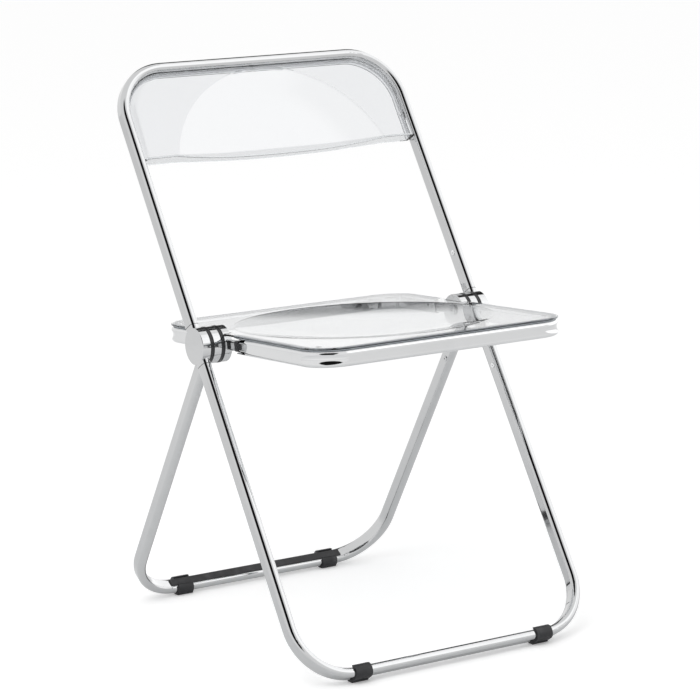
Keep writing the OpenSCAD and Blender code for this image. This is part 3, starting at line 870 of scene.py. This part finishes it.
@dataclass
class SeatPan:
    """The clear seat pan: a flat plate with rounded corners, a round dish and four bosses underneath."""

    half_width: float = 0.1935
    front: float = 0.257
    rear: float = 0.153
    corner: float = 0.044
    corner_segments: int = 24
    top: float = 0.0153
    thickness: float = 0.0026
    edge: float = 0.00125
    edge_segments: int = 6
    dish_y: float = PAN_DISH_Y
    disc_radius: float = 0.026
    disc_from: float = 0.181
    boss_radius: float = 0.004
    boss_height: float = 0.005
    bore_radius: float = 0.0018
    boss_x: float = 0.1735
    boss_y: Range = (-0.224, 0.12)
    dish: DishSection = DishSection()

    def on_outline(self, place: Vector) -> bool:
        """Tells whether a place lies on the plate's outer edge.

        Args:
            place: The place, in the pan's plane.

        Returns:
            Whether it does.
        """
        dx = max(abs(place.x) - (self.half_width - self.corner), 0.0)
        dy = max(self.corner - self.front - place.y, place.y - (self.rear - self.corner), 0.0)
        return any(abs(reach - self.corner) < NEAR for reach in (math.hypot(dx, dy), max(dx, dy)))

    def plate(self) -> Piece:
        """Models the plate: rings for the dish, joined to the rounded outline, then thickened.

        Returns:
            The plate.
        """
        dish_middle = (0.0, self.dish_y, self.top)
        made = Bench.rings("seat_pan_clear", dish_middle, self.dish.points(), self.dish.sides)
        middle = (0.0, (self.rear - self.front) / 2.0, self.top)
        outline = Bench.slab("outline", middle, 2.0 * self.half_width, self.front + self.rear)
        Bench.edit(outline)
        bpy.ops.mesh.bevel(offset=self.corner, segments=self.corner_segments, affect="VERTICES", profile=0.5)
        bpy.ops.mesh.select_all(action="SELECT")
        bpy.ops.mesh.delete(type="ONLY_FACE")
        Bench.take(made)
        outline.select_set(True)
        bpy.ops.object.join()
        Bench.edit(made)
        Bench.pick(
            made,
            Part.EDGE,
            lambda places: all(
                abs(p.z - self.top) < SAME and math.hypot(p.x, p.y - self.dish_y) > self.dish.radius - NEAR
                for p in places
            ),
        )
        bpy.ops.mesh.bridge_edge_loops()
        Bench.outward()
        Bench.clear()
        up = sum(face.area * face.normal.z for face in made.data.polygons)
        downward = -1.0 if up > 0.0 else 1.0
        Bench.apply(made, "SOLIDIFY", thickness=self.thickness, offset=downward, use_even_offset=True)
        Bench.edit(made)
        low = self.top - self.thickness
        Bench.pick(
            made,
            Part.EDGE,
            lambda places: all(self.on_outline(p) for p in places)
            and any(all(abs(p.z - level) < SAME for p in places) for level in (self.top, low)),
        )
        bpy.ops.mesh.bevel(offset=self.edge, segments=self.edge_segments, affect="EDGES", profile=0.5)
        Bench.clear()
        return made

    def boss(self, x: float, y: float) -> Piece:
        """Models one boss with its blind bore: a bar whose lower end is inset and extruded upward.

        Args:
            x: Its place across the seat.
            y: Its place along the seat.

        Returns:
            The boss.
        """
        low = self.top - self.thickness - self.boss_height
        length = self.boss_height + self.thickness / 2.0
        made = Bench.rod("boss", (x, y, low + length / 2.0), self.boss_radius, length)
        Bench.edit(made)
        Bench.pick(made, Part.FACE, lambda places: all(abs(p.z - low) < SAME for p in places))
        bpy.ops.mesh.inset(thickness=self.boss_radius - self.bore_radius)
        Bench.draw((0.0, 0.0, self.boss_height))
        Bench.clear()
        return made

    def build(self) -> Piece:
        """Models the whole pan, cut out round for the hinge discs.

        Returns:
            The pan.
        """
        made = self.plate()
        width = 2.0 * (self.half_width - self.disc_from)
        across = (0.0, QUARTER_TURN, 0.0)
        for _, side in SIDES:
            notch = Bench.rod("notch", (side * self.half_width, 0.0, 0.0), self.disc_radius, width, across)
            Bench.combine(made, notch, "DIFFERENCE")
            for y in self.boss_y:
                Bench.combine(made, self.boss(side * self.boss_x, y), "UNION")
        return Bench.finish(made, -TILT, MOULDED_EDGE)

    def dress(self, material: Material) -> None:
        """Puts the pan in place of its node.

        Args:
            material: Its finish.
        """
        made = self.build()
        cover(made, material, Body.SEAT)
        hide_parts("seat_pan")


@dataclass
class Backrest:
    """The clear backrest: a shallow tray with a rounded rim, open at the back, and a dish in its front."""

    half_width: float = 0.2133
    top: float = 0.3978
    low: float = 0.2685
    bend: float = 0.0653
    bend_segments: int = 32
    rim: float = 0.01
    rim_segments: int = 10
    wall: float = 0.003
    front: float = 0.0095
    back: float = -0.01025
    sag: float = 0.006
    sag_cuts: int = 95
    dish_y: float = BACK_DISH_Z
    cap_radius: float = 0.02
    cap_height: float = 0.002
    dish: DishSection = DishSection()

    def sink(self, made: Piece, low: float) -> None:
        """Lets the lower edge sag in a round arc below the dish.

        Args:
            made: The flat front in edit mode, its lower edge subdivided.
            low: Height of the lower edge.
        """
        reach = math.sqrt(self.dish.radius**2 - (self.low - self.dish_y) ** 2)
        radius = (reach**2 + self.sag**2) / (2.0 * self.sag)
        mesh = bmesh.from_edit_mesh(made.data)
        # To the micrometre, so that a vertex is moved once
        steps = {round(v.co.x, 6) for v in mesh.verts if v.co.y < low + SAME and abs(v.co.x) < reach}
        for x in sorted(steps):
            drop = math.sqrt(radius**2 - x**2) - (radius - self.sag)
            Bench.pick(
                made,
                Part.VERTEX,
                lambda places, x=x: places[0].y < low + SAME and abs(places[0].x - x) < WELD,
            )
            bpy.ops.transform.translate(value=(0.0, -drop, 0.0))

    def block(self, name: str, inset: float, back: float) -> Piece:
        """Models the solid of the tray's outside, or of its inside when set in by the wall.

        Args:
            name: The object's name.
            inset: How far it is set in.
            back: Height of its back face.

        Returns:
            The solid, drawn flat with its front up.
        """
        top, low, front = self.top - inset, self.low + inset, self.front - inset
        middle = (0.0, (top + low) / 2.0, front)
        bend, rim = self.bend - inset, self.rim - inset
        made = Bench.slab(name, middle, 2.0 * (self.half_width - inset), top - low)
        Bench.edit(made)
        Bench.pick(made, Part.VERTEX, lambda places: places[0].y > top - SAME)
        bpy.ops.mesh.bevel(offset=bend, segments=self.bend_segments, affect="VERTICES", profile=0.5)
        Bench.pick(made, Part.EDGE, lambda places: all(p.y < low + SAME for p in places))
        bpy.ops.mesh.subdivide(number_cuts=self.sag_cuts)
        self.sink(made, low)
        bpy.ops.mesh.select_all(action="SELECT")
        Bench.draw((0.0, 0.0, back - front))
        Bench.outward()
        Bench.pick(
            made,
            Part.EDGE,
            lambda places: all(p.z > front - SAME for p in places) and any(p.y > low + SAME for p in places),
        )
        bpy.ops.mesh.bevel(offset=rim, segments=self.rim_segments, affect="EDGES", profile=0.5)
        Bench.clear()
        return made

    def dish_solid(self, name: str, skin: float) -> Piece:
        """Models the dish's hollow, or with a skin its outside, as a solid closed above the front.

        Args:
            name: The object's name.
            skin: Thickness of the skin.

        Returns:
            The solid.
        """
        cap = [(radius, self.cap_height) for radius in (self.cap_radius, self.dish.radius)]
        middle = (0.0, self.dish_y, self.front)
        made = Bench.rings(name, middle, [*cap, *self.dish.points(skin)], self.dish.sides)
        Bench.edit(made)
        Bench.pick(
            made,
            Part.EDGE,
            lambda places: all(
                math.hypot(p.x, p.y - self.dish_y) < self.cap_radius + NEAR and p.z > self.front
                for p in places
            ),
        )
        bpy.ops.mesh.edge_face_add()
        Bench.outward()
        Bench.clear()
        return made

    def build(self) -> Piece:
        """Models the whole backrest.

        Returns:
            The backrest.
        """
        made = self.block("backrest_clear", 0.0, self.back)
        inside = self.block("inside", self.wall, self.back - self.wall)
        Bench.combine(inside, self.dish_solid("dish_outside", self.wall), "DIFFERENCE")
        Bench.combine(made, inside, "DIFFERENCE")
        Bench.combine(made, self.dish_solid("dish_hollow", 0.0), "DIFFERENCE")
        return Bench.finish(made, QUARTER_TURN - LEAN, MOULDED_EDGE)

    def dress(self, material: Material) -> None:
        """Puts the backrest in place of its node.

        Args:
            material: Its finish.
        """
        made = self.build()
        cover(made, material, Body.FRONT)
        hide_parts("backrest_panel")


@dataclass
class SeamRings:
    """The thin dark joints where the flat oval tubes meet the necks of the hinge discs."""

    width: float = 0.013
    depth: float = 0.022
    corner: float = 0.006
    corner_segments: int = 16
    wall: float = 0.0008
    height: float = 0.0007
    proud: float = 0.00006
    away: float = 0.028
    front_x: float = 0.22
    rear_x: float = 0.204

    def ring(self, name: str, x: float, z: float, turn: float) -> Piece:
        """Models one ring from a rounded rectangle.

        Args:
            name: The object's name.
            x: Its place across the chair.
            z: Its place along the tube, from the hinge axis.
            turn: Turn of the tube about the hinge axis.

        Returns:
            The ring.
        """
        grown = 2.0 * self.proud
        middle = (x, 0.0, z - self.height / 2.0)
        corner = self.corner + self.proud
        made = Bench.slab(name, middle, self.width + grown, self.depth + grown)
        Bench.edit(made)
        bpy.ops.mesh.bevel(offset=corner, segments=self.corner_segments, affect="VERTICES", profile=0.5)
        Bench.empty(self.wall, (0.0, 0.0, self.height))
        return Bench.finish(made, turn, RING_EDGE)

    def dress(self, material: Material) -> None:
        """Puts every ring on its body.

        Args:
            material: Their finish.
        """
        for word, side in SIDES:
            for end, z in (("upper", self.away), ("lower", -self.away)):
                made = self.ring(f"frame_seam_{end}_{word}", side * self.front_x, z, -LEAN)
                cover(made, material, Body.FRONT)
            made = self.ring(f"rear_seam_{word}", side * self.rear_x, -self.away, LEAN)
            cover(made, material, Body.REAR)


@dataclass
class DiscShadeRings:
    """Painted shade: black rings over the rims of the hinge discs, on both sides of each washer, standing in
    for the shade and dark reflections at the rims.

    Each row has the place of a disc's face, which way along X the disc lies from it, and the disc's body.
    """

    radius: float = 0.0245
    sides: int = 128
    proud: float = 0.00006
    width: float = 0.0014
    wall: float = 0.0012
    rows: tuple[tuple[float, float, Body], ...] = (
        (0.2135, 1.0, Body.FRONT),
        (0.2105, -1.0, Body.REAR),
        (0.1975, 1.0, Body.REAR),
        (0.1945, -1.0, Body.SEAT),
    )

    def ring(self, name: str, x: float, reach: float) -> Piece:
        """Models one ring of painted shade from a filled circle.

        Args:
            name: The object's name.
            x: Place of the disc's face across the chair.
            reach: How far the ring is drawn out over the disc.

        Returns:
            The edge.
        """
        Bench.clear()
        bpy.ops.mesh.primitive_circle_add(
            vertices=self.sides,
            radius=self.radius + self.proud,
            fill_type="NGON",
            location=(x, 0.0, 0.0),
            rotation=(0.0, QUARTER_TURN, 0.0),
        )
        made = Bench.settle(name)
        Bench.edit(made)
        Bench.empty(self.wall, (reach, 0.0, 0.0))
        return Bench.finish(made, 0.0, RING_EDGE)

    def dress(self, material: Material) -> None:
        """Puts every ring of painted shade on its body.

        Args:
            material: Their finish.
        """
        for word, side in SIDES:
            for number, (x, way, body) in enumerate(self.rows, 1):
                # Each ring is painted shade: a black band where the disc's rim looks dark
                made = self.ring(f"painted_disc_shade_{number}_{word}", side * x, side * way * self.width)
                cover(made, material, body)


def both(*stems: str) -> tuple[str, ...]:
    """Names the left and the right node of each stem."""
    return tuple(f"{stem}_{word}" for stem in stems for word, _ in SIDES)


@dataclass
class CarriedNodes:
    """CAD nodes that stay as they are and only get their finish."""

    nodes: dict[str, Piece]

    def dress(self, kit: Finishes) -> None:
        """Gives every node its finish.

        Args:
            kit: The chair's finishes.
        """
        rows = (
            (kit.tube, ("back_tube", "front_leg_tube", "rear_leg_tube", "rear_rivets")),
            (kit.band, ("seat_band_front", "seat_band_rear")),
            (kit.hub, both("outer_hub", "middle_hub", "seat_hub")),
            (kit.pin, both("pivot_pin", "stop_pin")),
            (kit.fixing, ("frame_rivets", "backrest_screws", "pan_screws", "arm_screws")),
            (kit.washer, both("outer_washer", "inner_washer", "arm_collars")),
            (kit.rubber, (*both("front_foot", "rear_foot"), "rear_bar_strip")),
            (kit.gasket, ("seat_gasket",)),
        )
        for finish, names in rows:
            material = finish.material()
            for name in names:
                coat(self.nodes[name], material)


# ---- The studio


def towards(azimuth: float, elevation: float) -> Vector:
    """Turns two angles into a direction.

    Args:
        azimuth: Degrees from the chair's front towards its +X side.
        elevation: Degrees above the floor.

    Returns:
        The direction.
    """
    a, e = math.radians(azimuth), math.radians(elevation)
    return Vector((math.sin(a) * math.cos(e), -math.cos(a) * math.cos(e), math.sin(e)))


@dataclass(frozen=True)
class Patch:
    """A round soft-edged part of the surroundings that the chrome mirrors, in degrees."""

    azimuth: float
    elevation: float
    inner: float
    outer: float
    strength: float


@dataclass
class Studio:
    """The floor, the light and the camera."""

    patches: tuple[Patch, ...] = (
        Patch(95.0, 18.0, 30.0, 50.0, 1.5),
        Patch(38.0, 28.0, 7.0, 12.0, 1.6),
        Patch(50.0, 42.0, 8.0, 14.0, 1.6),
        Patch(64.0, 51.0, 7.0, 13.0, 1.5),
        Patch(150.0, 33.0, 12.0, 21.0, 0.06),
        Patch(134.0, 48.0, 9.0, 15.0, 0.02),
        Patch(-40.0, 41.0, 25.0, 31.0, 0.01),
    )
    room_light: float = 0.8
    lamp_place: Point = (-2.2, -1.6, 3.4)
    lamp_size: float = 2.2
    lamp_power: float = 40.0
    azimuth: float = -32.16
    elevation: float = 10.77
    roll: float = -1.28
    camera_from_hinge: Point = (-1.974, -3.160, 0.677)
    lens: float = 145.2
    sensor: float = 36.0
    clip: Range = (0.05, 200.0)
    floor_size: float = 40.0
    floor_drop: float = 0.0004
    floor_roughness: float = 0.9
    floor_glow: float = 0.22
    floor_colour: Colour = (0.95, 0.95, 0.95)
    # Colour that mirrors see on the floor near the chair: painted shade
    floor_shade: Colour = (0.84, 0.845, 0.85)
    mirror_dimming: Range = (0.12, 0.05)
    dark_reach: Range = (0.1, 2.1)

    def camera(self) -> None:
        """Places the camera at the photograph's viewing angle."""
        a, r = math.radians(self.azimuth), math.radians(self.roll)
        back = towards(self.azimuth, self.elevation)
        level = Vector((math.cos(a), math.sin(a), 0.0))
        upright = back.cross(level)
        right = level * math.cos(r) + upright * math.sin(r)
        up = upright * math.cos(r) - level * math.sin(r)
        lens = bpy.data.cameras.new("camera")
        lens.lens, lens.sensor_width = self.lens, self.sensor
        lens.clip_start, lens.clip_end = self.clip
        made = bpy.data.objects.new("camera", lens)
        place = Matrix.Translation(Vector(HINGE) + Vector(self.camera_from_hinge))
        made.matrix_world = place @ Matrix((right, up, back)).transposed().to_4x4()
        bpy.context.scene.collection.objects.link(made)
        bpy.context.scene.camera = made

    def floor(self) -> None:
        """Lays the pale floor, white to the camera where no shadow falls on it."""
        bpy.ops.mesh.primitive_plane_add(size=self.floor_size, location=(0.0, 0.0, -self.floor_drop))
        made = bpy.context.object
        made.name = "floor"
        finish, graph, shader, _ = surface("floor")
        # Chrome mirrors a darker floor, most of all near the chair, where the darker colour is painted shade
        # for the chair's shadow. Rays through the clear plastic are glossy too, and still see it white.
        rays = graph.add("ShaderNodeLightPath").outputs
        only = graph.maths("SUBTRACT", rays["Is Glossy Ray"], rays["Is Transmission Ray"])
        mirrored = graph.maths("MAXIMUM", only, 0.0)
        place = graph.add("ShaderNodeTexCoord").outputs["Object"]
        reach = graph.vector("LENGTH", place).outputs["Value"]
        near_shade = graph.maths("MULTIPLY", mirrored, graph.spread(reach, self.dark_reach, FALLING, True))
        glow = graph.maths("MULTIPLY", graph.looked_at(), self.floor_glow)
        for share, dimming in zip((mirrored, near_shade), self.mirror_dimming):
            glow = graph.maths("SUBTRACT", glow, graph.maths("MULTIPLY", share, dimming))
        inputs = {
            "Base Color": graph.mix_colours(near_shade, self.floor_colour, self.floor_shade),
            "Roughness": self.floor_roughness,
            "Specular IOR Level": 0.0,
            "Emission Color": WHITE,
            "Emission Strength": glow,
        }
        graph.feed(shader, inputs)
        made.data.materials.append(finish)

    def mirrored(self, graph: Graph) -> Socket:
        """Builds what polished metal mirrors: a white room with lamps and dark openings.

        Args:
            graph: The world's graph.

        Returns:
            How bright the room is in each direction.
        """
        place = graph.add("ShaderNodeTexCoord").outputs["Generated"]
        level: Socket | float = 1.0
        for patch in self.patches:
            axis = towards(patch.azimuth, patch.elevation)
            along = graph.vector("DOT_PRODUCT", place, axis).outputs["Value"]
            rim, core = (math.cos(math.radians(x)) for x in (patch.outer, patch.inner))
            share = graph.spread(along, (rim, core), UNIT, True)
            inputs = {"Factor": share, "A": level, "B": patch.strength}
            level = graph.add("ShaderNodeMix", inputs, data_type="FLOAT").outputs["Result"]
        return level

    def world(self) -> None:
        """Builds the surroundings: white behind the chair, and what the chrome mirrors."""
        world = bpy.data.worlds.new("studio")
        bpy.context.scene.world = world
        world.use_nodes = True
        graph = Graph(world.node_tree)
        graph.tree.nodes.clear()
        shown, white, mirrored = (
            graph.add("ShaderNodeBackground", {"Color": WHITE, "Strength": strength}).outputs["Background"]
            for strength in (self.room_light, 1.0, self.mirrored(graph))
        )
        glossy = graph.add("ShaderNodeLightPath").outputs["Is Glossy Ray"]
        for share, top in ((graph.looked_at(), white), (glossy, mirrored)):
            mixed = graph.add("ShaderNodeMixShader", {"Fac": share, 1: shown, 2: top})
            shown = mixed.outputs["Shader"]
        graph.add("ShaderNodeOutputWorld", {"Surface": shown})

    def lamp(self) -> None:
        """Adds the square soft lamp, which faces the hinge and is itself never seen."""
        light = bpy.data.lights.new("key_lamp", "AREA")
        light.energy, light.size = self.lamp_power, self.lamp_size
        made = bpy.data.objects.new("key_lamp", light)
        made.location = self.lamp_place
        facing = Vector(HINGE) - Vector(self.lamp_place)
        made.rotation_euler = facing.to_track_quat("-Z", "Y").to_euler()
        made.visible_camera = made.visible_glossy = made.visible_transmission = False
        bpy.context.scene.collection.objects.link(made)

    def build(self) -> None:
        """Sets up the whole studio."""
        self.camera()
        self.floor()
        self.world()
        self.lamp()
        bpy.context.scene.view_settings.view_transform = "Standard"


def main() -> None:
    """Loads the frame, dresses the chair and sets up the studio."""
    logging.basicConfig(level=logging.INFO, format="%(name)s: %(message)s")
    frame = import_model()
    kit = Finishes()
    CarriedNodes(frame["nodes"]).dress(kit)
    SeatPan().dress(kit.pan.material())
    Backrest().dress(kit.back.material())
    # The seams' black also paints the shade on the hinge discs' rims
    seam = kit.seam.material()
    SeamRings().dress(seam)
    DiscShadeRings().dress(seam)
    Studio().build()


if __name__ == "__main__":
    main()
